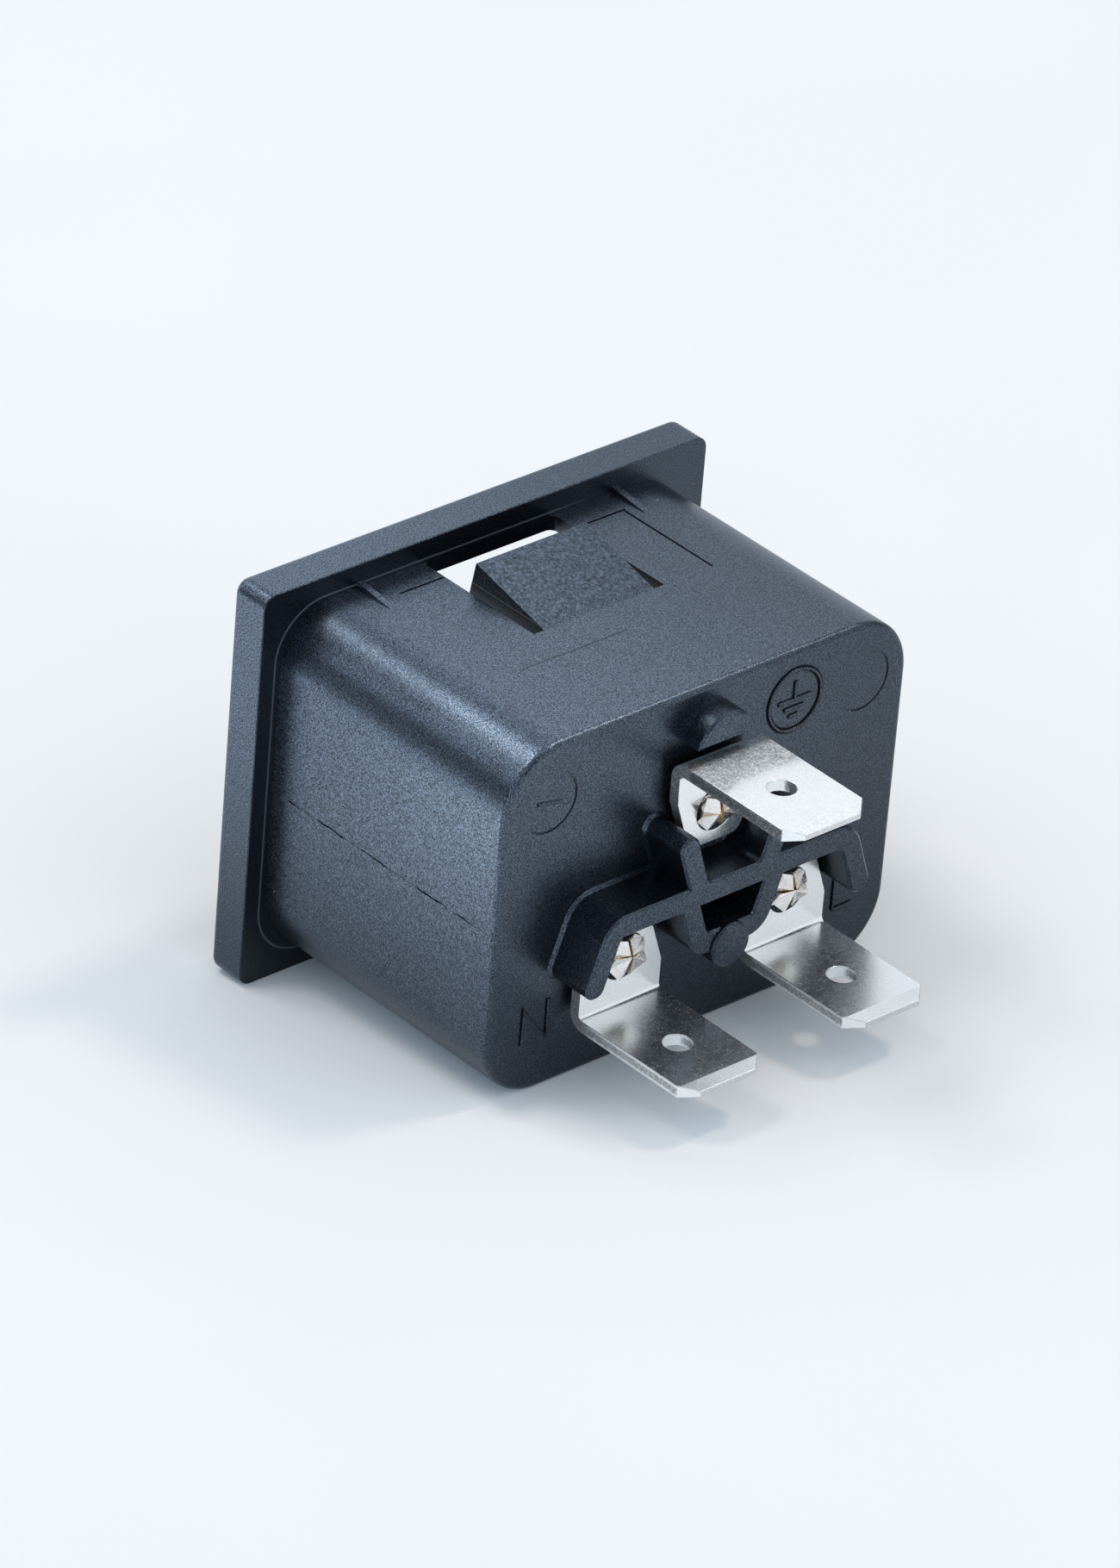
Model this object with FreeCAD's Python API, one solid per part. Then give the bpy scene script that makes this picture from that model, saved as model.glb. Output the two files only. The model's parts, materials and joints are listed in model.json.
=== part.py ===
import FreeCAD
import Part
import math
import os

# Snap-in panel inlet for a 16 A appliance coupler: moulded housing, three pins, three quick-connect tabs.
# Millimetres. X runs across, Y from the socket side to the terminals, Z up with the earth pin on top.
# The origin is the centre of the panel opening, on the flange face that seats on the panel.

# Body behind the panel
body_width = 31.6
body_height = 23.8
body_depth = 20.1
body_top_radius = 4.3
body_bottom_radius = 4.4
body_rear_edge = 0.4
side_wall = 1.0
rear_wall = 3.2

# Flange in front of the panel
flange_overhang = 1.55
flange_thickness = 2.8
flange_corner = 0.9
flange_front_edge = 0.5
flange_rear_edge = 0.06
mouth_chamfer = 0.5

# Snap latches in the top and bottom walls
window_width = 10.2
window_length = 10.0
window_corner = 0.5
latch_slot = 0.8
catch_distance = 3.75
catch_height = 1.5
catch_rake = 0.45

# Small ribs that centre the body in the panel opening
centring_spacing = 20.0
centring_width = 0.45
centring_height = 0.35
centring_length = 3.2

# Contact pins
pin_spacing = 13.0
earth_offset = 8.0
pin_width = 5.0
pin_thickness = 2.0
pin_edge = 0.3
pin_tip_length = 1.0
pin_tip_inset = 0.45
pin_tip_corner = 0.1
pin_seat = 2.0
pin_clearance = 0.02
line_tip_depth = 4.0
earth_tip_depth = 2.5

# Pin tails, split behind the tabs by a cross punch into four petals that lean out
tail_width = 2.3
tail_thickness = 1.8
tail_corner = 0.25
petal_height = 0.6
petal_spread = 0.35
petal_corner = 0.5
punch_width = 0.5
punch_depth = 0.5

# Quick-connect tabs
tab_width = 6.3
tab_thickness = 0.8
tab_bend = 0.3
tab_length = 9.7
tab_rise = 3.2
tab_corner_cut = 1.0
tab_tip_bevel_length = 0.9
tab_tip_bevel_depth = 0.2
tab_hole = 1.8
tab_hole_setback = 4.5
leg_straight = 1.2
leg_reach = 2.28
leg_end_width = 3.9
leg_corner = 0.9
stake_hole = 3.0
pad_height = 0.4
pad_inset = 0.5

# Rib network and bosses on the rear
rib_height = 3.3
rib_thickness = 1.5
rib_turn = 1.2
rib_edge = 0.15
rib_root = 0.2
crossbar_level = -0.15
arm_gap = 0.45
arm_end_level = -3.75
upright_gap = 0.4
upright_end_level = 3.45
cup_gap = 0.75
cup_level = -3.73
cup_pocket_depth = 2.2
cup_pocket_corner = 0.35
round_boss_diameter = 2.95
round_boss_level = -4.3
round_boss_proud = 0.25
half_boss_radius = 2.3
half_boss_height = 1.7
half_boss_gap = 0.8
half_boss_drop = 0.4

# Closest that two edges or points are told apart
tolerance = 1e-5

# Places worked out from the sizes
flange_width = body_width + 2 * flange_overhang
flange_height = body_height + 2 * flange_overhang
socket_floor = body_depth - rear_wall
socket_top = body_height / 2 - side_wall
pin_row = earth_offset / 2
leg_seat = body_depth + pad_height
leg_face = leg_seat + tab_thickness
rib_top = body_depth + rib_height
tab_tip = leg_face + tab_length
leg_slope = (tab_width - leg_end_width) / 2 / (leg_straight + leg_reach)


def point(x, y, z):
    return FreeCAD.Vector(x, y, z)


def block(x0, x1, y0, y1, z0, z1):
    return Part.makeBox(x1 - x0, y1 - y0, z1 - z0, point(x0, y0, z0))


def along_y(face, depth):
    return face.extrude(point(0, depth, 0))


def rounded_outline(corners, radii, level):
    """Closed face in the plane y = level through (x, z) corners, each rounded by its own radius."""
    edges = []
    count = len(corners)
    trims = []
    for i in range(count):
        here = point(corners[i][0], level, corners[i][1])
        before = point(corners[i - 1][0], level, corners[i - 1][1])
        after = point(corners[(i + 1) % count][0], level, corners[(i + 1) % count][1])
        back = (before - here).normalize()
        ahead = (after - here).normalize()
        half = math.acos(max(-1.0, min(1.0, back.dot(ahead)))) / 2
        reach = radii[i] / math.tan(half)
        middle = here + (back + ahead).normalize() * (radii[i] / math.sin(half) - radii[i])
        trims.append((here + back * reach, middle, here + ahead * reach))
    for i in range(count):
        start, middle, end = trims[i]
        if radii[i] > 0:
            edges.append(Part.Arc(start, middle, end).toShape())
        following = trims[(i + 1) % count][0]
        if end.distanceToPoint(following) > tolerance:
            edges.append(Part.makeLine(end, following))
    return Part.Face(Part.Wire(edges))


def body_outline(inset, level):
    """Body section, shrunk by inset: the earth side has tighter corners than the line side."""
    x = body_width / 2 - inset
    z = body_height / 2 - inset
    top = body_top_radius - inset
    bottom = body_bottom_radius - inset
    corners = [(-x, -z), (x, -z), (x, z), (-x, z)]
    return rounded_outline(corners, [bottom, bottom, top, top], level)


def edges_at(shape, level):
    """Edges that lie in the plane y = level."""
    found = []
    for e in shape.Edges:
        if max(abs(e.BoundBox.YMin - level), abs(e.BoundBox.YMax - level)) < tolerance:
            found.append(e)
    return found


def make_shell():
    """Flange and body with the socket recess, before latches and rear detail."""
    x = flange_width / 2
    z = flange_height / 2
    plate = rounded_outline([(-x, -z), (x, -z), (x, z), (-x, z)], [flange_corner] * 4, -flange_thickness)
    flange = along_y(plate, flange_thickness)
    flange = flange.makeFillet(flange_front_edge, edges_at(flange, -flange_thickness))
    flange = flange.makeChamfer(flange_rear_edge, edges_at(flange, 0))
    body = along_y(body_outline(0, 0), body_depth)
    body = body.makeFillet(body_rear_edge, edges_at(body, body_depth))
    socket = along_y(body_outline(side_wall, -flange_thickness), flange_thickness + socket_floor)
    mouth_front = body_outline(side_wall - mouth_chamfer, -flange_thickness)
    mouth_back = body_outline(side_wall, mouth_chamfer - flange_thickness)
    mouth = Part.makeLoft([mouth_front.OuterWire, mouth_back.OuterWire], True, True)
    return flange.fuse(body).cut(socket).cut(mouth)


def make_latch(side):
    """Window and tongue in the top (side 1) or bottom (side -1) wall; the tongue hinges at its rear end."""
    face_level = body_height / 2
    half = window_width / 2
    corners = [(-half, 0), (half, 0), (half, window_length), (-half, window_length)]
    front_round = [window_corner, window_corner, 0, 0]
    window = rounded_outline(corners, front_round, 0)
    window.rotate(point(0, 0, 0), point(1, 0, 0), 90)
    if window.BoundBox.YMax < window_length / 2:
        window.rotate(point(0, 0, 0), point(1, 0, 0), 180)
    window.translate(point(0, 0, socket_top))
    opening = window.extrude(point(0, 0, side_wall))
    crest = face_level + catch_height
    tongue_half = half - latch_slot
    profile = [
        point(-tongue_half, catch_distance - catch_rake, socket_top),
        point(-tongue_half, catch_distance, crest),
        point(-tongue_half, window_length, face_level),
        point(-tongue_half, window_length, socket_top),
    ]
    tongue = Part.Face(Part.makePolygon(profile + profile[:1])).extrude(point(2 * tongue_half, 0, 0))
    if side < 0:
        opening = opening.mirror(point(0, 0, 0), point(0, 0, 1))
        tongue = tongue.mirror(point(0, 0, 0), point(0, 0, 1))
    return opening, tongue


def make_centring_ribs(side):
    """Two small wedges behind the flange, highest at the flange face."""
    base = body_height / 2 - centring_height
    ribs = []
    for across in (-1, 1):
        x = across * centring_spacing / 2 - centring_width / 2
        profile = [
            point(x, 0, base),
            point(x, 0, body_height / 2 + centring_height),
            point(x, centring_length, body_height / 2),
            point(x, centring_length, base),
        ]
        rib = Part.Face(Part.makePolygon(profile + profile[:1])).extrude(point(centring_width, 0, 0))
        if side < 0:
            rib = rib.mirror(point(0, 0, 0), point(0, 0, 1))
        ribs.append(rib)
    return ribs


def leg_outline(x, z, up, level, inset=0.0):
    """Tab leg seen from behind: straight at the bend, then tapering to a rounded end; up is 1 or -1."""
    half = tab_width / 2 - inset
    end_half = leg_end_width / 2 - inset
    local = [
        (-half, tab_rise - inset),
        (half, tab_rise - inset),
        (half, leg_straight),
        (end_half, inset - leg_reach),
        (-end_half, inset - leg_reach),
        (-half, leg_straight),
    ]
    corners = [(x + a, z + up * b) for a, b in local]
    end = leg_corner - inset
    return rounded_outline(corners, [0, 0, 0, end, end, 0], level)


def strip(path, turn):
    """Rib along an (x, z) path, corners turned at a radius, ends round, with a splayed foot."""
    edges = []
    start = point(path[0][0], body_depth, path[0][1])
    for i in range(1, len(path) - 1):
        here = point(path[i][0], body_depth, path[i][1])
        back = (point(path[i - 1][0], body_depth, path[i - 1][1]) - here).normalize()
        ahead = (point(path[i + 1][0], body_depth, path[i + 1][1]) - here).normalize()
        half = math.acos(back.dot(ahead)) / 2
        reach = turn / math.tan(half)
        middle = here + (back + ahead).normalize() * (turn / math.sin(half) - turn)
        edges.append(Part.makeLine(start, here + back * reach))
        edges.append(Part.Arc(here + back * reach, middle, here + ahead * reach).toShape())
        start = here + ahead * reach
    edges.append(Part.makeLine(start, point(path[-1][0], body_depth, path[-1][1])))
    spine = Part.Wire(edges)
    outline = spine.makeOffset2D(rib_thickness / 2, 0, False, False)
    foot = spine.makeOffset2D(rib_thickness / 2 + rib_root, 0, False, False)
    wall = along_y(Part.Face(outline), rib_height)
    outline.translate(point(0, rib_root, 0))
    return wall.fuse(Part.makeLoft([foot, outline], True, True))


def beside_leg(gap, level):
    """From a leg's centre line to a rib's centre line; level counts from the pin to the leg's end."""
    edge = leg_end_width / 2 + leg_slope * (leg_reach - level)
    return edge + (gap + rib_thickness / 2) * math.hypot(1, leg_slope)


def make_rear_ribs():
    """Crossbar with arms around the lower legs, two uprights beside the earth leg, and the cup below."""
    post = pin_spacing / 2
    arm_top = post + beside_leg(arm_gap, pin_row + crossbar_level)
    arm_end = post + beside_leg(arm_gap, pin_row + arm_end_level)
    bar_path = [
        (-arm_end, arm_end_level),
        (-arm_top, crossbar_level),
        (arm_top, crossbar_level),
        (arm_end, arm_end_level),
    ]
    cup_top = post - beside_leg(cup_gap, pin_row + crossbar_level)
    cup_low = post - beside_leg(cup_gap, pin_row + cup_level)
    cup_path = [
        (-cup_top, crossbar_level),
        (-cup_low, cup_level),
        (cup_low, cup_level),
        (cup_top, crossbar_level),
    ]
    network = strip(bar_path, rib_turn).fuse(strip(cup_path, rib_turn))
    foot = beside_leg(upright_gap, pin_row - crossbar_level)
    head = beside_leg(upright_gap, pin_row - upright_end_level)
    upright_path = [
        (-head, upright_end_level),
        (-foot, crossbar_level),
        (foot, crossbar_level),
        (head, upright_end_level),
    ]
    network = network.fuse(strip(upright_path, rib_turn))
    network = network.removeSplitter()
    return network.makeChamfer(rib_edge, edges_at(network, rib_top))


def make_cup_pocket():
    """Deep blind pocket inside the cup."""
    post = pin_spacing / 2
    half_rib = rib_thickness / 2
    top = crossbar_level - half_rib
    low = cup_level + half_rib
    lean = half_rib * math.hypot(1, leg_slope)
    top_half = post - beside_leg(cup_gap, pin_row + top) - lean
    low_half = post - beside_leg(cup_gap, pin_row + low) - lean
    corners = [(-low_half, low), (low_half, low), (top_half, top), (-top_half, top)]
    hole = rounded_outline(corners, [cup_pocket_corner] * 4, body_depth - cup_pocket_depth)
    return along_y(hole, cup_pocket_depth + rib_height)


def make_round_boss():
    length = rib_height + round_boss_proud
    base = point(0, body_depth, round_boss_level)
    boss = Part.makeCylinder(round_boss_diameter / 2, length, base, point(0, 1, 0))
    return boss.makeChamfer(rib_edge, edges_at(boss, body_depth + length))


def make_half_boss():
    """Half-round boss above the earth tab, flat on the side that faces the blade."""
    flat = pin_row + tab_rise + tab_thickness + half_boss_gap
    base = point(0, body_depth, flat - half_boss_drop)
    end = body_depth + half_boss_height
    boss = Part.makeCylinder(half_boss_radius, half_boss_height, base, point(0, 1, 0))
    r = half_boss_radius
    boss = boss.common(block(-r, r, body_depth, end, flat, flat + r))
    return boss.makeChamfer(rib_edge, edges_at(boss, end))


# Pin name, x, z, the way its tab's blade lies from the pin, and how deep its tip lies in the socket
contacts = (
    ("line", -pin_spacing / 2, -pin_row, -1, line_tip_depth),
    ("neutral", pin_spacing / 2, -pin_row, -1, line_tip_depth),
    ("earth", 0.0, pin_row, 1, earth_tip_depth),
)


def make_housing():
    housing = make_shell()
    for side in (1, -1):
        opening, tongue = make_latch(side)
        housing = housing.cut(opening).fuse(tongue)
        for rib in make_centring_ribs(side):
            housing = housing.fuse(rib)
    housing = housing.fuse(make_rear_ribs()).fuse(make_round_boss()).fuse(make_half_boss())
    for name, x, z, up, tip_depth in contacts:
        housing = housing.fuse(along_y(leg_outline(x, z, up, body_depth, pad_inset), pad_height))
    housing = housing.cut(make_cup_pocket().cut(make_round_boss()))
    for name, x, z, up, tip_depth in contacts:
        half = pin_width / 2 + pin_clearance
        thick = pin_thickness / 2 + pin_clearance
        seat = block(x - half, x + half, socket_floor, socket_floor + pin_seat, z - thick, z + thick)
        half = tail_width / 2 + pin_clearance
        thick = tail_thickness / 2 + pin_clearance
        passage = block(x - half, x + half, socket_floor, leg_seat, z - thick, z + thick)
        housing = housing.cut(seat).cut(passage)
    return housing.removeSplitter()


def bar_section(x, z, width, thickness, corner, level):
    half = width / 2
    thick = thickness / 2
    corners = [(x - half, z - thick), (x + half, z - thick), (x + half, z + thick), (x - half, z + thick)]
    return rounded_outline(corners, [corner] * 4, level)


def make_petals(x, z):
    """End of a pin's tail behind its tab: flared, and parted by two V grooves that cross."""
    top = leg_face + petal_height
    spread_width = tail_width + 2 * petal_spread
    spread_thickness = tail_thickness + 2 * petal_spread
    neck = bar_section(x, z, tail_width, tail_thickness, tail_corner, leg_face)
    crown = bar_section(x, z, spread_width, spread_thickness, petal_corner, top)
    petals = Part.makeLoft([neck.OuterWire, crown.OuterWire], True, True)
    floor = point(x, top - punch_depth, z)
    half = punch_width / 2
    for across, along in ((point(1, 0, 0), point(0, 0, 1)), (point(0, 0, 1), point(1, 0, 0))):
        lift = point(0, punch_depth, 0)
        start = along * spread_width
        vee = [floor - start, floor - start + lift - across * half, floor - start + lift + across * half]
        groove = Part.Face(Part.makePolygon(vee + vee[:1])).extrude(start * 2)
        petals = petals.cut(groove)
    return petals


def make_pin(x, z, tip_depth):
    """Flat pin with a shoulder in the rear wall and a tail that is staked over the tab."""
    tip = tip_depth - flange_thickness
    shoulder = socket_floor + pin_seat
    full = bar_section(x, z, pin_width, pin_thickness, pin_edge, tip + pin_tip_length)
    end_width = pin_width - 2 * pin_tip_inset
    end_thickness = pin_thickness - 2 * pin_tip_inset
    end = bar_section(x, z, end_width, end_thickness, pin_tip_corner, tip)
    blade = along_y(full, shoulder - tip - pin_tip_length)
    blade = blade.fuse(Part.makeLoft([end.OuterWire, full.OuterWire], True, True))
    tail = along_y(bar_section(x, z, tail_width, tail_thickness, tail_corner, shoulder), leg_face - shoulder)
    return blade.fuse(tail).fuse(make_petals(x, z)).removeSplitter()


def make_tab(x, z, up):
    """Sheet tab bent at a right angle: a tapered leg on the housing and a blade that points straight back."""
    leg = along_y(leg_outline(x, z, up, leg_seat), tab_thickness)
    inner = tab_rise
    outer = tab_rise + tab_thickness
    low, high = sorted((z + up * inner, z + up * outer))
    half = tab_width / 2
    blade = block(x - half, x + half, leg_seat, tab_tip, low, high)
    tab = leg.fuse(blade).removeSplitter()

    def bend_edge(y, level):
        for e in tab.Edges:
            box = e.BoundBox
            across = box.XLength > tab_width / 2
            if across and max(abs(box.YMax - y), abs(box.ZMin - level)) < tolerance:
                return e

    tab = tab.makeFillet(tab_bend, [bend_edge(leg_face, z + up * inner)])
    tab = tab.makeFillet(tab_bend + tab_thickness, [bend_edge(leg_seat, z + up * outer)])
    corners = [e for e in edges_at(tab, tab_tip) if e.BoundBox.XLength < tolerance]
    tab = tab.makeChamfer(tab_corner_cut, corners)
    wedge_low = point(x - half, tab_tip - tab_tip_bevel_length, high)
    wedge_out = point(x - half, tab_tip, high)
    wedge_deep = point(x - half, tab_tip, high - tab_tip_bevel_depth)
    profile = Part.makePolygon([wedge_low, wedge_out, wedge_deep, wedge_low])
    wedge = Part.Face(profile).extrude(point(tab_width, 0, 0))
    middle = (low + high) / 2
    tab = tab.cut(wedge).cut(wedge.mirror(point(0, 0, middle), point(0, 0, 1)))
    hole = point(x, tab_tip - tab_hole_setback, low)
    detent = Part.makeCylinder(tab_hole / 2, tab_thickness, hole, point(0, 0, 1))
    stake = Part.makeCylinder(stake_hole / 2, tab_thickness, point(x, leg_seat, z), point(0, 1, 0))
    return tab.cut(detent).cut(stake)


def save(shape, name):
    solids = shape.Solids
    print(name, "solids", len(solids), "valid", shape.isValid(), "volume %.2f" % shape.Volume)
    solid = solids[0] if len(solids) == 1 else shape
    solid.exportStep("parts/" + name + ".step")


os.makedirs("parts", exist_ok=True)
save(make_housing(), "housing")
for name, x, z, up, tip_depth in contacts:
    save(make_pin(x, z, tip_depth), name + "_pin")
    save(make_tab(x, z, up), name + "_tab")
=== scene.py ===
import json
import math
import bmesh
import bpy
from mathutils import Matrix, Vector

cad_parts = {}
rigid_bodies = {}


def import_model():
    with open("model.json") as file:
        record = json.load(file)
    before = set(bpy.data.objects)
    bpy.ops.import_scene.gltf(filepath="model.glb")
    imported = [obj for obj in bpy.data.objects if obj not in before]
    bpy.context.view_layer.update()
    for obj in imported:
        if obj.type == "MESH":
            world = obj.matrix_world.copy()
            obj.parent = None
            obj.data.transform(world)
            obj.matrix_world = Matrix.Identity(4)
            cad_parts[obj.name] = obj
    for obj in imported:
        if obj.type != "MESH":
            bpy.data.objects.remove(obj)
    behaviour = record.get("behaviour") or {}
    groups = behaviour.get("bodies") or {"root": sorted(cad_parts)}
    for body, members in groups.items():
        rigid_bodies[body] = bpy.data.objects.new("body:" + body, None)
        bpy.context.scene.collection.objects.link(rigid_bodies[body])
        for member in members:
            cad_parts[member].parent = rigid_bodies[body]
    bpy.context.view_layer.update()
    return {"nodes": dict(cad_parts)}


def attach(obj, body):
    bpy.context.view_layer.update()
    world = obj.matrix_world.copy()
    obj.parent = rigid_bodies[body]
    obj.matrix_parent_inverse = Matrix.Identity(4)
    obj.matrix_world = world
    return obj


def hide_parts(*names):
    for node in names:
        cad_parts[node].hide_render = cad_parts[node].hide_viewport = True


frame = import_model()
nodes = frame["nodes"]
scene = bpy.context.scene
mm = 0.001
print("frame loaded:", ", ".join(sorted(nodes)))


class Wire:
    # one socket of a node tree; sums on it add Math nodes
    def __init__(self, tree, socket=None):
        self.tree = tree
        self.socket = socket

    def node(self, kind, settings=(), inputs=(), out=0):
        made = self.tree.nodes.new(kind)
        for name, value in dict(settings).items():
            setattr(made, name, value)
        for name, value in dict(inputs).items():
            if isinstance(value, Wire):
                self.tree.links.new(value.socket, made.inputs[name])
            else:
                made.inputs[name].default_value = value
        return Wire(self.tree, made.outputs[out] if made.outputs else None)

    def sum(self, operation, *others):
        inputs = dict(enumerate((self, *others)))
        return self.node("ShaderNodeMath", {"operation": operation}, inputs)

    def swapped(self, operation, first):
        return self.node("ShaderNodeMath", {"operation": operation}, {0: first, 1: self})

    def __add__(self, other):
        return self.sum("ADD", other)

    def __radd__(self, other):
        return self.swapped("ADD", other)

    def __sub__(self, other):
        return self.sum("SUBTRACT", other)

    def __rsub__(self, other):
        return self.swapped("SUBTRACT", other)

    def __mul__(self, other):
        return self.sum("MULTIPLY", other)

    def __rmul__(self, other):
        return self.swapped("MULTIPLY", other)

    def __abs__(self):
        return self.sum("ABSOLUTE")

    def least(self, other):
        return self.sum("MINIMUM", other)

    def most(self, other):
        return self.sum("MAXIMUM", other)

    def fade(self, low, high):
        # 0 below low, 1 above high, eased between; low may be the larger
        inputs = {"Value": self, "From Min": low, "From Max": high}
        return self.node("ShaderNodeMapRange", {"interpolation_type": "SMOOTHSTEP"}, inputs)

    def mixed(self, first, second):
        # colour from first to second as this goes from 0 to 1
        inputs = {0: self, 6: first, 7: second}
        return self.node("ShaderNodeMix", {"data_type": "RGBA"}, inputs, 2)

    def parts(self):
        # x, y and z of a vector
        return [self.node("ShaderNodeSeparateXYZ", {}, {0: self}, i) for i in range(3)]


def newFinish(name):
    material = bpy.data.materials.new(name)
    material.use_nodes = True
    material.node_tree.nodes.clear()
    return material, Wire(material.node_tree)


def closeFinish(start, constants, links, *layers):
    # constants sit on the shader's own sockets and links carry what varies
    # each layer is its share and its changes, and lies on the ones before
    shader = start.node("ShaderNodeBsdfPrincipled", {}, {**constants, **links})
    for share, changes in layers:
        layer = start.node("ShaderNodeBsdfPrincipled", {}, {**constants, **links, **changes})
        shader = start.node("ShaderNodeMixShader", {}, {0: share, 1: shader, 2: layer})
    start.node("ShaderNodeOutputMaterial", {}, {"Surface": shader})


def place(start):
    # the spot on the piece in millimetres
    spot = start.node("ShaderNodeTexCoord", out="Object")
    return start.node("ShaderNodeVectorMath", {"operation": "SCALE"}, {0: spot, "Scale": 1 / mm})


def noise(spot, scale, detail=2.0, roughness=0.5):
    inputs = {"Vector": spot, "Scale": scale, "Detail": detail, "Roughness": roughness}
    return spot.node("ShaderNodeTexNoise", {}, inputs)


def bumped(height, strength):
    inputs = {"Strength": strength, "Distance": mm, "Height": height}
    return height.node("ShaderNodeBump", {}, inputs)


def between(ends, share):
    low, high = ends
    return low + (high - low) * share


def addPiece(name, mesh, material, slot, *replaced):
    piece = bpy.data.objects.new(name, mesh)
    scene.collection.objects.link(piece)
    mesh.materials.clear()
    mesh.materials.append(material)
    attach(piece, "root")
    if replaced:
        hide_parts(*replaced)


def plainMesh(source, name):
    # what the modifiers give, as a mesh of its own
    graph = bpy.context.evaluated_depsgraph_get()
    mesh = bpy.data.meshes.new_from_object(source.evaluated_get(graph))
    mesh.name = name
    blank = source.data
    bpy.data.objects.remove(source)
    bpy.data.batch_remove([blank])
    return mesh


def mergedSolid(node):
    # welded copy of a CAD node with its flat faces whole again
    work = bmesh.new()
    work.from_mesh(nodes[node].data)
    bmesh.ops.remove_doubles(work, verts=work.verts, dist=0.002 * mm)
    flat = math.radians(0.5)
    bmesh.ops.dissolve_limit(work, angle_limit=flat, verts=work.verts, edges=work.edges)
    return work


def newTree(name, inlet, outlet, sizes):
    # a Geometry Nodes tree with named inputs for its sizes
    tree = bpy.data.node_groups.new(name, "GeometryNodeTree")
    sockets = tree.interface
    sockets.new_socket(inlet, in_out="INPUT", socket_type="NodeSocketGeometry")
    inputs = {}
    for size, kind in sizes.items():
        made = sockets.new_socket(size, in_out="INPUT", socket_type="NodeSocket" + kind)
        inputs[size] = made.identifier
    sockets.new_socket(outlet, in_out="OUTPUT", socket_type="NodeSocketGeometry")
    start = Wire(tree)
    given = {socket: start.node("NodeGroupInput", out=socket) for socket in [inlet, *sizes]}
    return tree, inputs, start, given


tinLook = {
    "bright": (0.96, 0.965, 0.955, 1.0),
    "dullAndShaded": (0.82, 0.845, 0.855, 1.0),
    "sheared": (0.30, 0.305, 0.30, 1.0),
    "shadowed": (0.09, 0.095, 0.10, 1.0),
    "roughness": (0.21, 0.28),
    "shearedRoughness": 0.25,
    "earthPolish": 0.1,
    "satin": {"Roughness": 0.5, "Metallic": 0.35},
    "scatter": (0.01, 0.15),
    "earthScatter": 0.48,
    "mottle": 3.4,
    "rolling": 10.0,
    "bladeStart": (21.8, 22.4),
    "bladeEnd": (29.8, 30.2),
    "bladeLevel": 7.6,
    "tornBand": (0.16, 0.26),
}


def makeTin(look):
    material, start = newFinish("satinTin")
    spot = place(start)
    y, z = spot.parts()[1:]
    mottle = noise(spot, look["mottle"], 4.0, 0.65)
    fine = noise(spot, look["rolling"], 3.0, 0.7)
    cloud = noise(spot, 0.5, 2.0)
    face = start.node("ShaderNodeNewGeometry", out="Normal")
    flank, end = [abs(part).fade(0.75, 0.95) for part in face.parts()[:2]]
    sideways = flank.most(end * y.fade(*look["bladeEnd"]) * 0.6)
    onBlade = y.fade(*look["bladeStart"])
    onEarth = z.fade(0.0, 3.0) * onBlade
    tone = (mottle * 0.6 + cloud * 0.4).fade(0.3, 0.7) * 0.5
    tone = tone + z.fade(-1.0, 1.0) * 0.5  # painted highlight: the upper, earth tab is made the brightest
    tone = tone.mixed(look["dullAndShaded"], look["bright"])
    level = abs(z) - look["bladeLevel"] + (mottle - 0.5) * 0.3
    torn = sideways * (1.0 - onBlade * abs(level).fade(*look["tornBand"]))  # left by the punch
    tone = (torn * fine.fade(0.3, 0.55) * 0.85).mixed(tone, look["sheared"])
    # painted shade: the flanks of the earth blade are darkened
    tone = (flank * onEarth * fine.fade(0.25, 0.5) * 0.9).mixed(tone, look["shadowed"])
    haze = fine.fade(0.42, 0.6) * 0.75 + mottle.fade(0.4, 0.65) * 0.25
    smooth = between(look["roughness"], haze) + sideways * look["shearedRoughness"]
    smooth = smooth - onEarth * look["earthPolish"]
    height = mottle * 0.003 + fine * 0.001 + sideways * (fine * 0.02)
    specks = (fine * 0.65 + mottle * 0.35).fade(0.44, 0.6)
    scatter = between(look["scatter"], specks) + onEarth * (0.6 + specks) * look["earthScatter"]
    links = {"Base Color": tone, "Roughness": smooth, "Normal": bumped(height, 0.5)}
    closeFinish(start, {"Metallic": 1.0}, links, (scatter, look["satin"]))
    return material


tin = makeTin(tinLook)
tabLook = {
    "edge": 0.06,
    "segments": 2,
    "bevelled": 40.0,  # edges sharper than this, in degrees, are rolled
    "smooth": 32.0,
    "tip": 29.5,
    "crisp": 5.0,
}


def makeTab(node, look):
    work = mergedSolid(node)
    for face in work.faces:
        face.smooth = True
    for edge in work.edges:  # the ground tip keeps its shallow edges crisp
        tip = min(v.co.y for v in edge.verts) > look["tip"] * mm
        limit = math.radians(look["crisp"] if tip else look["smooth"])
        edge.smooth = edge.calc_face_angle(0.0) < limit
    mesh = bpy.data.meshes.new(node + "Sheet")
    work.to_mesh(mesh)
    work.free()
    blank = bpy.data.objects.new(node + "Blank", mesh)
    scene.collection.objects.link(blank)
    rolled = blank.modifiers.new("rolledEdge", "BEVEL")
    rolled.width = look["edge"] * mm
    rolled.segments = look["segments"]
    rolled.limit_method = "ANGLE"
    rolled.angle_limit = math.radians(look["bevelled"])
    rolled.use_clamp_overlap = False
    rolled.harden_normals = True
    addPiece(node + "Sheet", plainMesh(blank, node + "Sheet"), tin, "tabs", node)


for node in ("line_tab", "neutral_tab", "earth_tab"):
    makeTab(node, tabLook)
print("tabs made")

pinLook = {
    "plated": (0.80, 0.79, 0.75, 1.0),
    "worn": (0.74, 0.66, 0.48, 1.0),
    "roughness": (0.16, 0.3),
    "drawn": (6.0, 0.5, 6.0),  # the drawing lines run along the pin
}


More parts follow.
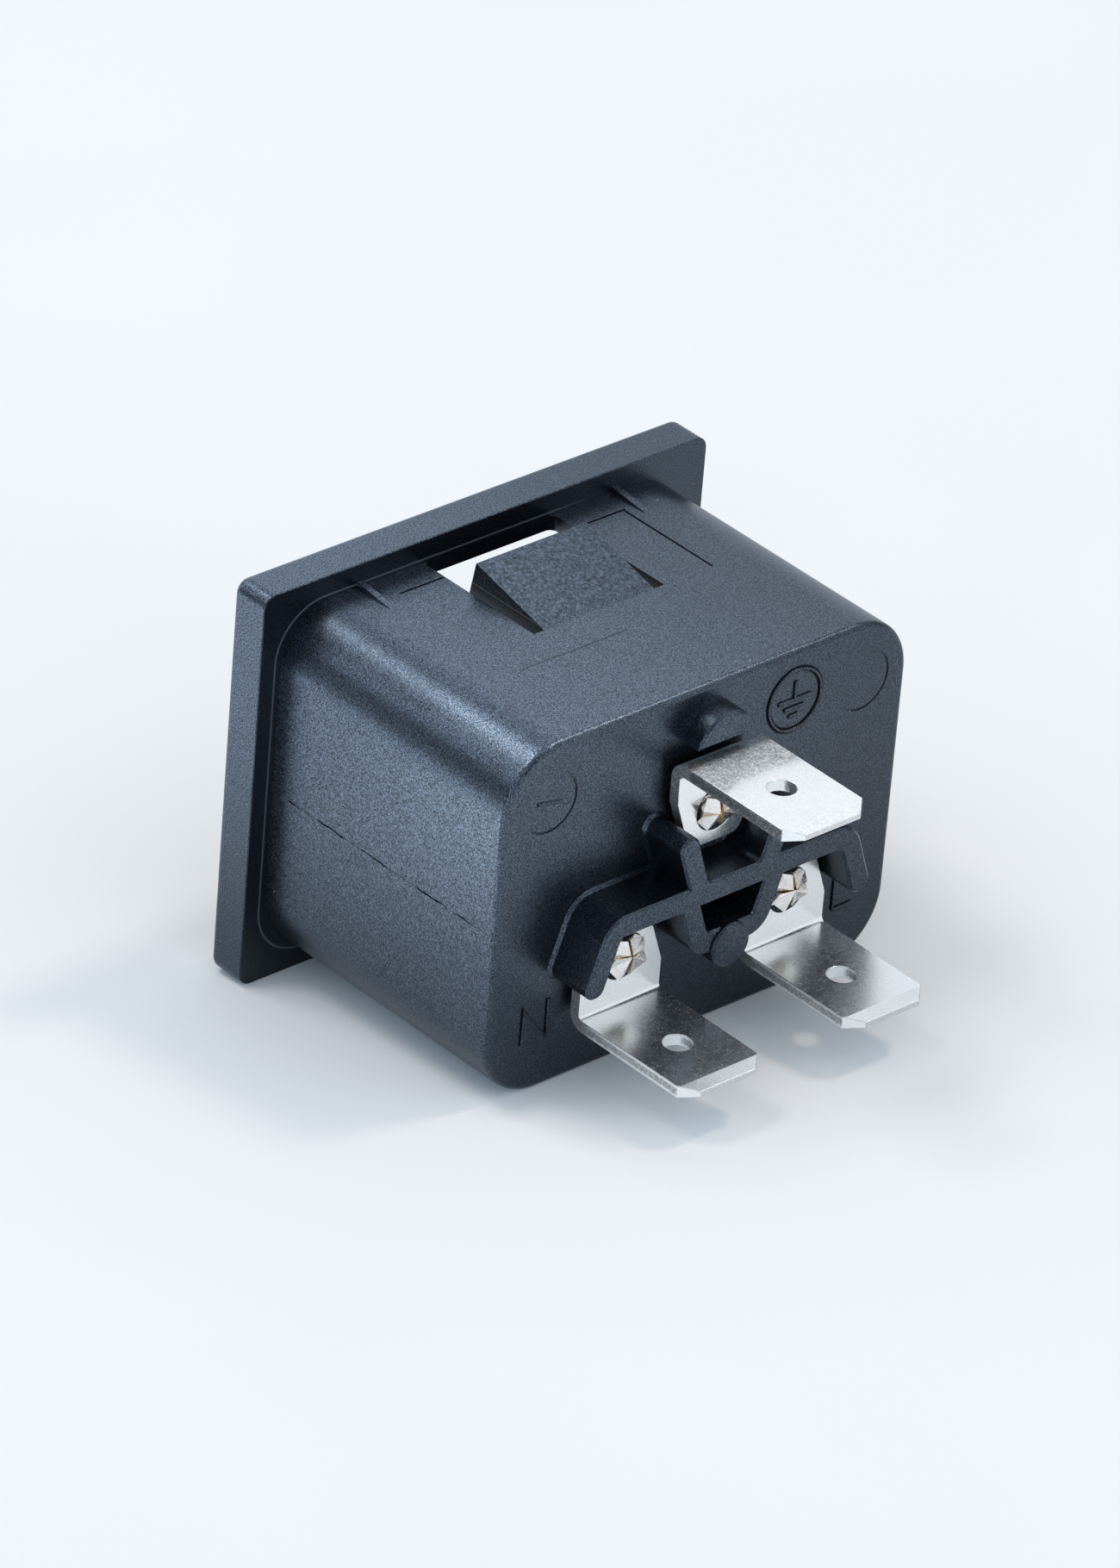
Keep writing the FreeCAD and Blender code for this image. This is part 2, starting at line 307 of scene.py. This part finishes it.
def makePlating(look):
    material, start = newFinish("platedPin")
    spot = place(start)
    stretch = {0: spot, 1: look["drawn"]}
    stretched = start.node("ShaderNodeVectorMath", {"operation": "MULTIPLY"}, stretch)
    drawn = noise(stretched, 1.5, 3.0, 0.6)
    worn = noise(spot, 0.8, 3.0).fade(0.5, 0.75) * 0.5
    tone = worn.mixed(look["plated"], look["worn"])
    satin = between(look["roughness"], drawn.fade(0.3, 0.7))
    links = {"Base Color": tone, "Roughness": satin, "Normal": bumped(drawn * 0.01, 0.4)}
    closeFinish(start, {"Metallic": 1.0}, links)
    return material


petalLook = {
    "plated": (0.93, 0.905, 0.875, 1.0),
    "brass": (0.80, 0.62, 0.38, 1.0),
    "roughness": (0.24, 0.4),
    "slit": (0.1, 0.03),  # bare brass shows where the punch has split the plating
}


def makePetalFinish(look):
    material, start = newFinish("splitBrass")
    local = start.node("ShaderNodeAttribute", {"attribute_name": "petalPlace"}, out="Vector")
    u, w = local.parts()[::2]
    smear = noise(place(start), 5.0, 3.0, 0.6)
    slit = u.least(w) + (smear - 0.5) * 0.2
    bare = slit.fade(*look["slit"]) * 0.85
    tone = bare.mixed(look["plated"], look["brass"])
    satin = between(look["roughness"], smear.fade(0.3, 0.7))
    links = {"Base Color": tone, "Roughness": satin, "Normal": bumped(smear * 0.03, 0.6)}
    closeFinish(start, {"Metallic": 1.0}, links)
    return material


plating = makePlating(pinLook)
splitBrass = makePetalFinish(petalLook)
stakeLook = {
    "places": {  # where the punch struck, and how much longer the lower petals are
        "line_pin": (-6.4, -3.6, 0.35),
        "neutral_pin": (6.42, -3.6, 0.55),
        "earth_pin": (0.15, 4.05, 0.0),
    },
    "legFace": 21.3,
    "sunk": 0.25,  # the shank ends this far below the face of the leg
    "width": 2.4,
    "thickness": 1.9,
    "height": 0.72,
    "wobble": 0.1,
    "seed": 3,
    "edge": 0.02,
    "crisp": 12.0,
    "shankSmooth": 30.0,
    "rings": [  # one petal from its root up, in the quarter where x and z are positive
        [
            (0.01, -0.6, 0.01), (0.75, -0.6, 0.01), (0.75, -0.6, 0.5),
            (0.5, -0.6, 0.75), (0.01, -0.6, 0.75),
        ],
        [
            (0.01, 0.3, 0.01), (0.9, 0.05, 0.02), (0.95, 0.0, 0.6),
            (0.6, 0.0, 0.95), (0.02, 0.05, 0.9),
        ],
        [
            (0.02, 1.05, 0.02), (0.98, 0.5, 0.05), (1.1, 0.85, 0.6),
            (0.62, 0.2, 1.1), (0.05, 0.72, 0.98),
        ],
    ],
}


def petalBlank(look):
    work = bmesh.new()
    loops = [[work.verts.new(c) for c in ring] for ring in look["rings"]]
    for below, above in zip(loops, loops[1:]):
        for i in range(len(below)):
            work.faces.new((below[i - 1], above[i - 1], above[i], below[i]))
    root, top = loops[0], loops[-1]
    work.faces.new(root)
    for a, b in zip(top[1:], top[2:]):  # three facets meet where the punch went in
        work.faces.new((b, a, top[0]))
    bmesh.ops.recalc_face_normals(work, faces=work.faces)
    soft = {"offset": look["edge"], "segments": 2, "profile": 0.5, "affect": "EDGES"}
    bmesh.ops.bevel(work, geom=work.edges[:], **soft)
    mesh = bpy.data.meshes.new("petalBlank")
    work.to_mesh(mesh)
    work.free()
    mesh.shade_smooth()
    mesh.set_sharp_from_angle(angle=math.radians(look["crisp"]))
    return mesh


def petalTree():
    # four petals round a pin, each a little different
    sizes = {
        "Centre": "Vector", "Size": "Vector", "Droop": "Float", "Wobble": "Float", "Seed": "Int",
    }
    tree, inputs, start, given = newTree("splitTail", "Petal", "Tail", sizes)
    spot = start.node("GeometryNodeInputPosition")
    kept = {"data_type": "FLOAT_VECTOR", "domain": "POINT"}
    petal = {"Geometry": given["Petal"], "Name": "petalPlace", "Value": spot}
    petal = start.node("GeometryNodeStoreNamedAttribute", kept, petal)
    points = start.node("GeometryNodePoints", {}, {"Count": 4})
    quarter = start.node("GeometryNodeInputIndex") * (math.pi / 2)
    swing = start.node("ShaderNodeCombineXYZ", {}, {"Y": quarter})
    ends = [{0: (way, way, way), "Scale": given["Wobble"]} for way in (-1.0, 1.0)]
    least, most = [start.node("ShaderNodeVectorMath", {"operation": "SCALE"}, e) for e in ends]
    chance = {0: least, 1: most, "Seed": given["Seed"]}
    chance = start.node("FunctionNodeRandomValue", {"data_type": "FLOAT_VECTOR"}, chance)
    swing = start.node("ShaderNodeVectorMath", {"operation": "ADD"}, {0: swing, 1: chance})
    swing = start.node("FunctionNodeEulerToRotation", {}, {0: swing})
    four = {"Points": points, "Instance": petal, "Rotation": swing}
    four = start.node("GeometryNodeInstanceOnPoints", {}, four)
    four = start.node("GeometryNodeRealizeInstances", {}, {"Geometry": four})
    low = spot.parts()[2].least(0.0) * given["Droop"]
    drop = start.node("ShaderNodeCombineXYZ", {}, {"Z": low})
    four = start.node("GeometryNodeSetPosition", {}, {"Geometry": four, "Offset": drop})
    four = {"Geometry": four, "Translation": given["Centre"], "Scale": given["Size"]}
    four = start.node("GeometryNodeTransform", {}, four)
    four = start.node("GeometryNodeSetMaterial", {}, {"Geometry": four, "Material": splitBrass})
    start.node("NodeGroupOutput", {}, {"Tail": four})
    return tree, inputs


def makePin(node, seed, tree, inputs, look):
    x, z, droop = look["places"][node]
    width, height, thickness = look["width"], look["height"], look["thickness"]
    sizes = {
        "Centre": (x * mm, look["legFace"] * mm, z * mm),
        "Size": (width / 2 * mm, height * mm, thickness / 2 * mm),
        "Droop": droop,
        "Wobble": look["wobble"],
        "Seed": seed,
    }
    carrier = bpy.data.objects.new(node + "Petals", petalBlank(look))
    scene.collection.objects.link(carrier)
    split = carrier.modifiers.new("splitTail", "NODES")
    split.node_group = tree
    for size, value in sizes.items():
        split[inputs[size]] = value
    petals = plainMesh(carrier, node + "Petals")
    work = mergedSolid(node)
    whole = work.verts[:] + work.edges[:] + work.faces[:]
    cut = Vector((0, (look["legFace"] - look["sunk"]) * mm, 0))
    plane = {"plane_co": cut, "plane_no": (0, 1, 0)}
    made = bmesh.ops.bisect_plane(work, geom=whole, clear_outer=True, **plane)
    rim = [e for e in made["geom_cut"] if isinstance(e, bmesh.types.BMEdge)]
    bmesh.ops.contextual_create(work, geom=rim)
    for face in work.faces:
        face.smooth = True
    limit = math.radians(look["shankSmooth"])
    for edge in work.edges:
        edge.smooth = edge.is_manifold and edge.calc_face_angle(0.0) < limit
    shank = bpy.data.meshes.new(node + "Shank")
    work.to_mesh(shank)
    work.free()
    addPiece(node + "Petals", petals, splitBrass, "pins")
    addPiece(node + "Shank", shank, plating, "pins", node)


splitTail, tailInputs = petalTree()
for seed, node in enumerate(stakeLook["places"], stakeLook["seed"]):
    makePin(node, seed, splitTail, tailInputs, stakeLook)
print("pins made")

markLook = {
    "level": 20.1,
    "ridge": 0.12,
    "ridgeSides": 10,
    "crisp": 50.0,
    "earth": (-6.76, 8.48),
    "ring": 2.05,
    "ringSides": 72,
    "strokes": [  # x and z of the points of each stroke
        [(-6.72, 9.75), (-6.72, 8.55)],
        [(-5.45, 8.5), (-8.05, 8.5)],
        [(-5.95, 7.95), (-7.5, 7.95)],
        [(-6.35, 7.42), (-7.1, 7.42)],
        [(13.0, -8.42), (13.0, -5.82), (11.1, -8.42), (11.1, -5.82)],
        [(-11.55, -5.67), (-11.55, -7.8), (-13.1, -7.8)],
        [(13.2, 8.14), (11.3, 7.79)],
    ],
    "groove": (0.24, 0.17),  # painted shade beside a ridge, out to the first and full from the second
    "strokeShade": 0.24,
    "grooveShare": 0.8,
}

plasticLook = {
    "shade": (0.0012, 0.0015, 0.0022, 1.0),
    "tone": (0.027, 0.032, 0.041, 1.0),
    "gloss": (0.60, 0.77, 1.0, 1.0),
    "body": 1.32,  # refraction of the moulding, and of the shinier skin on it
    "skin": 3.0,
    "skinRoughness": 0.28,
    "paintedShade": {"ribs": 0.7, "leftEdge": 0.35, "leftBand": 0.4, "flange": 0.9, "catches": 1.0},
    "groove": (0.004, 0.0045, 0.006, 1.0),
    "grooveRoughness": 0.9,
    "dust": (0.5, 0.53, 0.58, 1.0),
    "dustCells": 0.62,
    "dustShare": 0.6,
    "roughness": (0.28, 0.34),
    "rampRoughness": 0.06,
    "grain": 12.5,
    "rampGrain": 4.2,
    "grainHeight": 0.026,
    "rampHeight": 0.06,
    "bump": 0.55,
    "top": (11.6, 11.75),
    "sides": (15.5, 15.7),
    "rear": ((19.9, 20.06), (20.2, 20.14)),
    "ramp": ((4.6, 4.3), (3.4, 3.7), (11.95, 12.05)),
    "behindFlange": ((-9.0, -4.0), (-0.2, -0.05), (0.6, 0.3)),
    "lineWidth": 0.11,
    "lineDepth": 0.03,
    "inserts": [  # hairlines on the top: along, across, from, to, level, part of width, share
        ("x", "y", 5.2, 8.6, 1.98, 1.0, 1.0),
        ("x", "y", -9.1, -6.1, 1.98, 1.0, 1.0),
        ("y", "x", 2.0, 10.0, -8.95, 1.0, 1.0),
        ("x", "y", 0.2, 8.5, 12.7, 0.8, 0.4),
    ],
    "parting": (1.5, 19.8, -0.1),
    "dimple": (12.23, 7.98),
    "dimpleRadius": 2.0,
    "dimpleDepth": 0.02,
    "seat": (16.2, 12.1, 3.6),  # half width, half height and corner of a painted highlight line behind the flange
    "seatHighlight": (0.16, 0.17, 0.19, 1.0),
    "seatHighlightShare": 0.4,
}


def hairline(along, across, first, last, level, width):
    # 1 on a straight hairline that runs from first to last at a level
    soft = 0.1
    inside = along.fade(first - soft, first + soft) * along.fade(last + soft, last - soft)
    return inside * abs(across - level).fade(width, width * 0.35)


def distance(across, rise):
    return (across * across + rise * rise).sum("SQRT")


def straightStrokes(strokes):
    # the level and upright runs of the marks: along, across, from, to, level
    runs = []
    for stroke in strokes:
        for (a, b), (c, d) in zip(stroke, stroke[1:]):
            if a == c:
                runs.append(("z", "x", min(b, d), max(b, d), a))
            elif b == d:
                runs.append(("x", "z", min(a, c), max(a, c), b))
    return runs


def mouldLinesAndShade(spot, x, y, z, look, marks):
    # hairlines of the tool, painted shade beside the marks, and the sunken ejector marks with
    # painted shade on one side of their rims
    axes = {"x": x, "y": y, "z": z}
    width = look["lineWidth"]
    onTop = z.fade(*look["top"])
    onSides = abs(x).fade(*look["sides"])
    near, far = look["rear"]
    onRear = y.fade(*near) * y.fade(*far)
    wander = (noise(spot, 1.2, 3.0) - 0.5) * 0.3
    broken = noise(spot, 0.45, 2.0).fade(0.42, 0.58)
    parting = hairline(y, z + wander, *look["parting"], width * 0.75)
    lines = onSides * (parting * (0.25 + broken * 0.75))
    for along, across, first, last, level, thin, share in look["inserts"]:
        insert = hairline(axes[along], axes[across], first, last, level, width * thin)
        lines = lines.most(onTop * insert * share)
    wide, high = look["dimple"]
    across, rise = x - x.sum("SIGN") * wide, z - high  # one on each side
    away = distance(across, rise)
    radius = look["dimpleRadius"]
    dimple = onRear * away.fade(radius + 0.05, radius - 0.05)
    # painted shade: the rim is darker on the side toward -x and toward the bottom, where it is
    # also sunk deeper
    deeperAndShaded = (across * -0.75 - rise * 0.65).fade(-0.6, 1.6) * 0.85 + 0.08
    lines = lines.most(onRear * abs(away - radius).fade(width, width * 0.3) * deeperAndShaded)
    # painted shade: a dark band round the earth ring and along every stroke of the marks
    left, up = marks["earth"]
    ring = abs(distance(x - left, z - up) - marks["ring"]).fade(*marks["groove"])
    lines = lines.most(onRear * ring * marks["grooveShare"])
    for along, across, first, last, level in straightStrokes(marks["strokes"]):
        groove = marks["strokeShade"]
        stroke = hairline(axes[along], axes[across], first, last, level, groove)
        lines = lines.most(onRear * stroke * marks["grooveShare"])
    return lines, dimple


def dustSpecks(spot, look):
    cells = {"Vector": spot, "Scale": look["dustCells"], "Randomness": 1.0}
    near = spot.node("ShaderNodeTexVoronoi", {"feature": "F1"}, cells)
    draw = spot.node("ShaderNodeTexVoronoi", {"feature": "F1"}, cells, "Color")
    draw = spot.node("ShaderNodeSeparateColor", {}, {0: draw})
    return near.fade(0.05, 0.025) * draw.fade(0.80, 0.82)  # one cell in five holds a speck


def seatHighlightLine(x, z, look):
    # a thin painted highlight round the body where it meets the flange
    wide, tall, bend = look["seat"]
    past = (abs(x) - (wide - bend)).most(0.0)
    over = (abs(z) - (tall - bend)).most(0.0)
    return abs(distance(past, over) - bend).fade(0.1, 0.03)


def skinShareWithPaintedShade(x, y, z, face, grain, behind, look):
    # how much of the shinier skin shows: by grain, and, as painted sheen and shade, by place and
    # by the way a face points
    flankwise, endwise = [abs(part) for part in face.parts()[:2]]
    aside = endwise.fade(0.8, 0.4)
    onLeft = x.fade(0.0, 1.0)
    # the grain sets it; as painted shade, faces toward the rear get half, and as painted sheen
    # more shows toward the neutral side and the top
    share = grain.fade(0.29, 0.81) * (0.5 + 0.5 * aside)
    share = share * (0.45 + 0.51 * x.fade(-15.0, 14.0))
    share = share * (0.28 + 0.72 * z.fade(-12.0, 8.0))
    rounded = flankwise.fade(0.2, 0.4) * flankwise.fade(0.85, 0.65) * onLeft
    band = flankwise.fade(0.78, 0.88) * flankwise.fade(0.99, 0.95) * onLeft
    catches = z.fade(10.8, 11.2) * flankwise.fade(0.6, 0.9) * abs(x).fade(9.0, 8.0)
    # painted shade: less gloss on the rib flanks, on the front of the rounded left edge and
    # where it meets the side, behind the flange and on the sides of the catches
    dullAndShaded = {
        "ribs": y.fade(20.2, 20.5) * aside,
        "leftEdge": rounded * y.fade(15.0, 9.0),
        "leftBand": band * z.fade(4.0, 6.0),
        "flange": behind * endwise.fade(0.6, 0.9),
        "catches": catches,
    }
    for where, mask in dullAndShaded.items():
        share = share * (1.0 - mask * look["paintedShade"][where])
    return share


def makePlastic(look, marks):
    material, start = newFinish("charcoalPlastic")
    spot = place(start)
    x, y, z = spot.parts()
    face = start.node("ShaderNodeNewGeometry", out="Normal")
    fine = noise(spot, look["grain"], 1.5, 0.6)
    coarse = noise(spot, look["rampGrain"], 2.0, 0.7)
    cloud = noise(spot, 0.35, 3.0)
    across, along, up = look["ramp"]
    onRamp = z.fade(*up) * abs(x).fade(*across) * y.fade(*along)
    across, near, far = look["behindFlange"]
    behind = y.fade(*near) * y.fade(*far) * x.fade(*across)
    lines, dimple = mouldLinesAndShade(spot, x, y, z, look, marks)
    grains = (fine * 0.9 + cloud * 0.1).fade(0.5, 0.74)
    grains = grains.most(onRamp * coarse.fade(0.5, 0.72))
    tone = grains.mixed(look["shade"], look["tone"])
    # painted highlight: a light line where the body meets the flange
    seat = behind * seatHighlightLine(x, z, look) * look["seatHighlightShare"]
    tone = seat.mixed(tone, look["seatHighlight"])
    tone = (dustSpecks(spot, look) * look["dustShare"]).mixed(tone, look["dust"])
    matt = between(look["roughness"], fine.fade(0.25, 0.75)) + onRamp * look["rampRoughness"]
    height = fine * look["grainHeight"] + onRamp * (coarse * look["rampHeight"])
    height = height - lines * look["lineDepth"] - dimple * look["dimpleDepth"]
    grain = fine + onRamp * (coarse - fine) * 0.55
    share = skinShareWithPaintedShade(x, y, z, face, grain, behind, look)
    constants = {"IOR": look["body"], "Specular IOR Level": 1.0, "Specular Tint": look["gloss"]}
    links = {"Base Color": tone, "Roughness": matt, "Normal": bumped(height, look["bump"])}
    skin = {"IOR": look["skin"], "Roughness": look["skinRoughness"]}
    # the lines layer is painted shade: dark and without gloss along the hairlines, beside the
    # marks and on the ejector rims
    groove = {"Base Color": look["groove"], "Roughness": look["grooveRoughness"]}
    groove["Specular IOR Level"] = 0.0
    closeFinish(start, constants, links, (share, skin), (lines, groove))
    return material


plastic = makePlastic(plasticLook, markLook)
housing = nodes["housing"].data  # its shape is right, so only its finish changes
housing.materials.clear()
housing.materials.append(plastic)


def markTree(look):
    # a low round ridge along every stroke
    tree, inputs, start, given = newTree("mouldedRidge", "Strokes", "Marks", {"Ridge": "Float"})
    section = {"Resolution": look["ridgeSides"], "Radius": given["Ridge"]}
    section = start.node("GeometryNodeCurvePrimitiveCircle", {}, section)
    swept = {"Curve": given["Strokes"], "Profile Curve": section, "Fill Caps": True}
    swept = start.node("GeometryNodeCurveToMesh", {}, swept)
    swept = start.node("GeometryNodeRealizeInstances", {}, {"Geometry": swept})
    swept = start.node("GeometryNodeSetMaterial", {}, {"Geometry": swept, "Material": plastic})
    start.node("NodeGroupOutput", {}, {"Marks": swept})
    return tree, inputs


def makeMarks(look):
    curve = bpy.data.curves.new("markStrokes", "CURVE")
    curve.dimensions = "3D"
    x, z = look["earth"]
    radius, sides = look["ring"], look["ringSides"]
    turns = [math.tau * i / sides for i in range(sides)]
    ring = [(x + radius * math.cos(a), z + radius * math.sin(a)) for a in turns]
    for stroke, closed in [(ring, True)] + [(s, False) for s in look["strokes"]]:
        spline = curve.splines.new("POLY")
        spline.points.add(len(stroke) - 1)
        spline.use_cyclic_u = closed
        for point, (a, b) in zip(spline.points, stroke):
            point.co = (a * mm, look["level"] * mm, b * mm, 1.0)
    tree, inputs = markTree(look)
    carrier = bpy.data.objects.new("markStrokes", curve)
    scene.collection.objects.link(carrier)
    raised = carrier.modifiers.new("mouldedRidge", "NODES")
    raised.node_group = tree
    raised[inputs["Ridge"]] = look["ridge"] * mm
    mesh = plainMesh(carrier, "terminalMarks")
    mesh.shade_smooth()
    mesh.set_sharp_from_angle(angle=math.radians(look["crisp"]))
    addPiece("terminalMarks", mesh, plastic, "housing")


makeMarks(markLook)
print("housing finished and marks made")

lightLook = {
    "back": (0.89, 0.94, 1.0, 1.0),  # back to edge are what the metal and the gloss reflect
    "up": (0.48, 0.53, 0.60, 1.0),
    "front": (0.18, 0.195, 0.215, 1.0),
    "fill": (0.50, 0.54, 0.60, 1.0),
    "card": (0.92, 0.95, 0.99, 1.0),
    "cardWay": (-0.585, 0.627, 0.513),
    "edge": (0.21, 0.225, 0.25, 1.0),
    "domeHigh": (0.60, 0.60, 0.61, 1.0),  # the dome lights the floor
    "domeLeft": (0.80, 1.14, 1.50, 1.0),
    "domeFront": (1.13, 1.32, 1.53, 1.0),
    "domeLow": (0.26, 0.39, 0.52, 1.0),
    "background": (0.90, 0.93, 0.975, 1.0),
    # place in millimetres, what it faces, width, power and colour
    # floorGlow lies almost in the floor, with about a third of it above
    "lamps": {
        "rightLamp": ((-348, 138, 707), (0, 0, 0), 0.14, 1.10, (1.0, 0.90, 0.80)),
        "leftLamp": ((278, -230, 714), (0, 0, 0), 0.24, 0.90, (1.0, 0.93, 0.87)),
        "backLamp": ((90, -250, 392), (10, 22, 10), 0.10, 0.2, (0.97, 0.98, 1.0)),
        "floorGlow": ((60, -14, -14.6), (60, -18, 30), 0.048, 0.01, (0.97, 0.98, 1.0)),
    },
}


def makeWorld(look):
    world = bpy.data.worlds.new("whiteStudio")
    world.use_nodes = True
    world.node_tree.nodes.clear()
    start = Wire(world.node_tree)
    x, y, z = start.node("ShaderNodeTexCoord", out="Generated").parts()
    glow = y.fade(0.0, -0.4).mixed(look["front"], look["back"])  # a white sweep stands behind
    sweep = z.fade(0.75, 0.58).most(x.fade(-0.3, -0.5) * y.fade(0.1, -0.2))
    glow = sweep.mixed(look["up"], glow)
    glow = (x.fade(0.5, 0.75) * z.fade(0.6, 0.35)).mixed(glow, look["edge"])  # ends on the left
    glow = (x.fade(0.0, 0.35) * y.fade(-0.15, 0.15)).mixed(glow, look["fill"])
    a, b, c = look["cardWay"]
    glow = (x * a + y * b + z * c).fade(0.82, 0.93).mixed(glow, look["card"])
    dome = x.fade(0.1, 0.7).mixed(look["domeLow"], look["domeLeft"])
    dome = z.fade(0.35, 0.9).mixed(dome, look["domeHigh"])
    dome = y.fade(0.1, 0.7).mixed(dome, look["domeFront"])
    mirrored = start.node("ShaderNodeLightPath", out="Is Glossy Ray")
    seen = start.node("ShaderNodeLightPath", out="Is Camera Ray")
    soft = start.node("ShaderNodeBackground", {}, {"Color": mirrored.mixed(dome, glow)})
    paper = start.node("ShaderNodeBackground", {}, {"Color": look["background"]})
    both = start.node("ShaderNodeMixShader", {}, {0: seen, 1: soft, 2: paper})
    start.node("ShaderNodeOutputWorld", {}, {"Surface": both})
    scene.world = world


def makeLamp(name, spot, aim, width, power, colour):
    lamp = bpy.data.lights.new(name, "AREA")
    lamp.shape = "DISK"
    lamp.size = width
    lamp.energy = power
    lamp.color = colour
    holder = bpy.data.objects.new(name, lamp)
    scene.collection.objects.link(holder)
    holder.location = Vector(spot) * mm
    holder.rotation_euler = (Vector(spot) - Vector(aim)).to_track_quat("Z", "Y").to_euler()
    holder.visible_camera = False


makeWorld(lightLook)
for name, facts in lightLook["lamps"].items():
    makeLamp(name, *facts)

floorLook = {
    "size": 3.0,
    "tone": (0.885, 0.87, 0.85, 1.0),
    "shade": (0.87, 0.855, 0.835, 1.0),
    "finish": {"Roughness": 0.75, "Specular IOR Level": 0.2},
    "apart": 5.0,  # the second edge it touches lies at least this far behind the first
}


def makeFloor(look):
    # it touches the lower edge of the flange and the rear edge of the body
    # the crest of the lower catch goes about 0.25 mm into it, under the part
    spots = [v.co for v in nodes["housing"].data.vertices]
    crest = min(spots, key=lambda c: c.z)
    behind = [c for c in spots if c.y > crest.y + look["apart"] * mm]
    slope = min((c.z - crest.z) / (c.y - crest.y) for c in behind)
    half = look["size"] / 2
    corners = [(-half, -half), (half, -half), (half, half), (-half, half)]
    points = [(a, b, crest.z + slope * (b - crest.y)) for a, b in corners]
    mesh = bpy.data.meshes.new("floor")
    mesh.from_pydata(points, [], [(0, 1, 2, 3)])
    material, start = newFinish("paperSweep")
    tone = noise(place(start), 0.02, 2.0).fade(0.35, 0.65).mixed(look["shade"], look["tone"])
    closeFinish(start, look["finish"], {"Base Color": tone})
    mesh.materials.append(material)
    floor = bpy.data.objects.new("floor", mesh)
    scene.collection.objects.link(floor)


makeFloor(floorLook)
print("studio made")

cameraLook = {
    "lens": 241.22,
    "sensor": 36.0,
    "azimuth": 136.979,
    "elevation": 30.867,
    "roll": 4.527,
    "distance": 629.027 * mm,
    "aim": (5.111 * mm, -4.434 * mm),
    "clip": (0.01, 20.0),
}


def makeCamera(look):
    turn, rise, roll = (math.radians(look[k]) for k in ("azimuth", "elevation", "roll"))
    level = math.cos(rise)
    back = Vector((math.sin(turn) * level, -math.cos(turn) * level, math.sin(rise)))
    right = (-back).cross(Vector((0, 0, 1))).normalized()
    up = right.cross(-back)
    across = right * math.cos(roll) + up * math.sin(roll)
    upright = up * math.cos(roll) - right * math.sin(roll)
    spot = back * look["distance"]
    aim = across * look["aim"][0] + upright * look["aim"][1]
    back = (spot - aim).normalized()
    across = (across - back * across.dot(back)).normalized()
    upright = back.cross(across)
    lens = bpy.data.cameras.new("camera")
    lens.sensor_fit = "VERTICAL"
    lens.sensor_height = look["sensor"]
    lens.lens = look["lens"]
    lens.clip_start, lens.clip_end = look["clip"]
    holder = bpy.data.objects.new("camera", lens)
    scene.collection.objects.link(holder)
    turned = Matrix((across, upright, back)).transposed().to_4x4()
    holder.matrix_world = Matrix.Translation(spot) @ turned
    scene.camera = holder


makeCamera(cameraLook)
scene.view_settings.view_transform = "Standard"
print("camera set")
